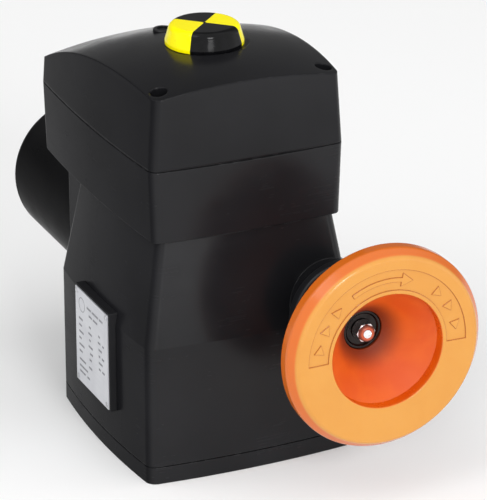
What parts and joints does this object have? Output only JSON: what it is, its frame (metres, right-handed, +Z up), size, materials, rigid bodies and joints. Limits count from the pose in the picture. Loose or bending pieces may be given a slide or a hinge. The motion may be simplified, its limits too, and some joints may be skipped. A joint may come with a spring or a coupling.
{
  "type": "electric quarter-turn actuator",
  "caption": "Quarter-turn valve actuator with tapered gear housing, domed control cover, rear motor, funnel-shaped handwheel and rotary position indicator.",
  "frame": {"origin": "centre of the output drive at the mounting face of the base plate", "axes": "+Z up along the output axis towards the position indicator, -Y towards the handwheel, -X towards the nameplate"},
  "size_m": [0.2299, 0.4052, 0.3185],
  "materials": {
    "housing": "satin black powder coat",
    "cover": "satin black powder coat",
    "black_plastic": "fine satin",
    "motor_paint": "satin black paint",
    "orange": "moulded, soft gloss",
    "yellow": "gloss",
    "seal": "matte",
    "screw_steel": "black oxide to bright zinc",
    "chrome": "polished",
    "machined": "machined",
    "bronze": "machined bronze",
    "plate": "satin anodised",
    "iron": "laminated",
    "copper": "enamelled wire",
    "cam_plastic": "satin",
    "board": "solder resist",
    "capacitor": "sleeved can",
    "heater": "extruded"
  },
  "bodies": {
    "casing": {"control_housing": "housing", "gear_housing": "housing", "base_plate": "housing", "top_cover": "cover", "nameplate_carrier": "black_plastic", "limit_switches": "black_plastic", "relays": "black_plastic", "terminal_strip": "black_plastic", "gland_bodies": "black_plastic", "gland_caps": "black_plastic", "blanking_plug": "black_plastic", "vent_plug": "black_plastic", "worm_cover": "black_plastic", "switch_bracket": "black_plastic", "motor_housing": "motor_paint", "motor_flange": "motor_paint", "base_gasket": "seal", "deck_gasket": "seal", "cover_gasket": "seal", "indicator_seal": "seal", "shaft_seal": "seal", "output_seal": "seal", "base_screws": "screw_steel", "housing_screws": "screw_steel", "cover_screws": "screw_steel", "worm_cover_screws": "screw_steel", "stop_screws": "screw_steel", "stop_nuts": "screw_steel", "terminal_screws": "screw_steel", "idler_pin": "machined", "bearing_outer_rings": "machined", "lower_bush": "bronze", "upper_bush": "bronze", "motor_bearings": "bronze", "nameplate": "plate", "nameplate_rivets": "plate", "stator_core": "iron", "stator_windings": "copper", "circuit_board": "board", "motor_capacitor": "capacitor", "heater": "heater"},
    "output": {"output_shaft": "machined", "worm_wheel": "bronze", "stop_arms": "machined", "cam_shaft": "machined", "switch_cams": "cam_plastic", "indicator_body": "black_plastic", "indicator_sectors": "yellow"},
    "worm_line": {"worm_shaft": "machined", "worm_gear": "machined", "bearing_inner_races": "machined", "handwheel": "orange", "wheel_hub": "black_plastic", "wheel_washer": "screw_steel", "cap_nut": "chrome"},
    "idler": {"idler_gear": "machined"},
    "rotor": {"motor_shaft": "machined", "rotor_core": "iron"},
    "plunger_closed": {"switch_plunger_1": "cam_plastic"},
    "plunger_open": {"switch_plunger_2": "cam_plastic"}
  },
  "joints": [
    {"name": "worm_spin", "type": "hinge", "parent": "casing", "child": "worm_line", "pos_m": [0.06, 0, 0.122], "axis": [0, -1, 0], "range_deg": [0, 4230]},
    {"name": "output_turn", "type": "hinge", "parent": "casing", "child": "output", "pos_m": [0, 0, 0], "axis": [0, 0, 1], "range_deg": [-0.01, 90.01]},
    {"name": "idler_spin", "type": "hinge", "parent": "casing", "child": "idler", "pos_m": [0.01745, 0, 0.09388], "axis": [0, -1, 0], "range_deg": [-1523, 0]},
    {"name": "rotor_spin", "type": "hinge", "parent": "casing", "child": "rotor", "pos_m": [-0.0121, 0, 0.1317], "axis": [0, -1, 0], "range_deg": [0, 5439]},
    {"name": "closed_switch_press", "type": "slide", "parent": "casing", "child": "plunger_closed", "axis": [-1, 0, 0], "range_m": [0, 0.0014], "stiffness_N_per_m": 800},
    {"name": "open_switch_press", "type": "slide", "parent": "casing", "child": "plunger_open", "axis": [-1, 0, 0], "range_m": [0, 0.0014], "stiffness_N_per_m": 800}
  ],
  "couplings": [
    {"joint": "output_turn", "follows": "worm_spin", "ratio": 0.021277},
    {"joint": "idler_spin", "follows": "worm_spin", "ratio": -0.36},
    {"joint": "rotor_spin", "follows": "worm_spin", "ratio": 1.2857}
  ]
}
